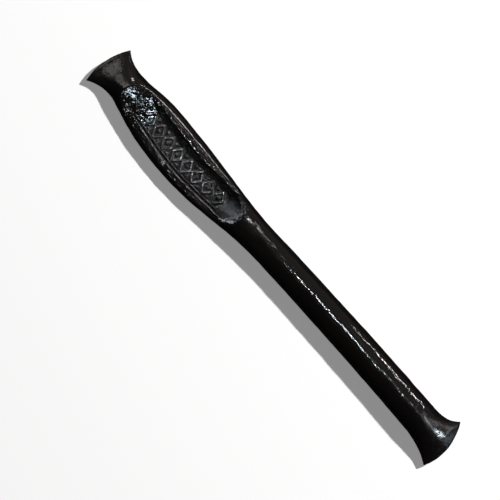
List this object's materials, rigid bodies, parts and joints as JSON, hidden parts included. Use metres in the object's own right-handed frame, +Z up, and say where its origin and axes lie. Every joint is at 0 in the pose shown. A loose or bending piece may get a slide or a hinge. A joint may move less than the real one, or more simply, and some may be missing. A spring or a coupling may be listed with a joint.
{
  "type": "hard licorice stick",
  "caption": "Solid black stick with a round shaft, a wide flat grip stamped with a long shallow trough of raised ornament, and pinched fishtail ends.",
  "frame": {"origin": "on the surface that the stick lies on, under the middle of its bounding box", "axes": "+X along the stick from the stamped end to the plain end, +Y across it towards the grip's straighter side, +Z up, out of the stamped face"},
  "size_m": [0.1704, 0.0196, 0.0107],
  "materials": {
    "licorice": "semi-gloss, with a fine pitted surface that sparkles under a light"
  },
  "bodies": {
    "root": {"licorice_stick": "licorice"}
  },
  "joints": []
}
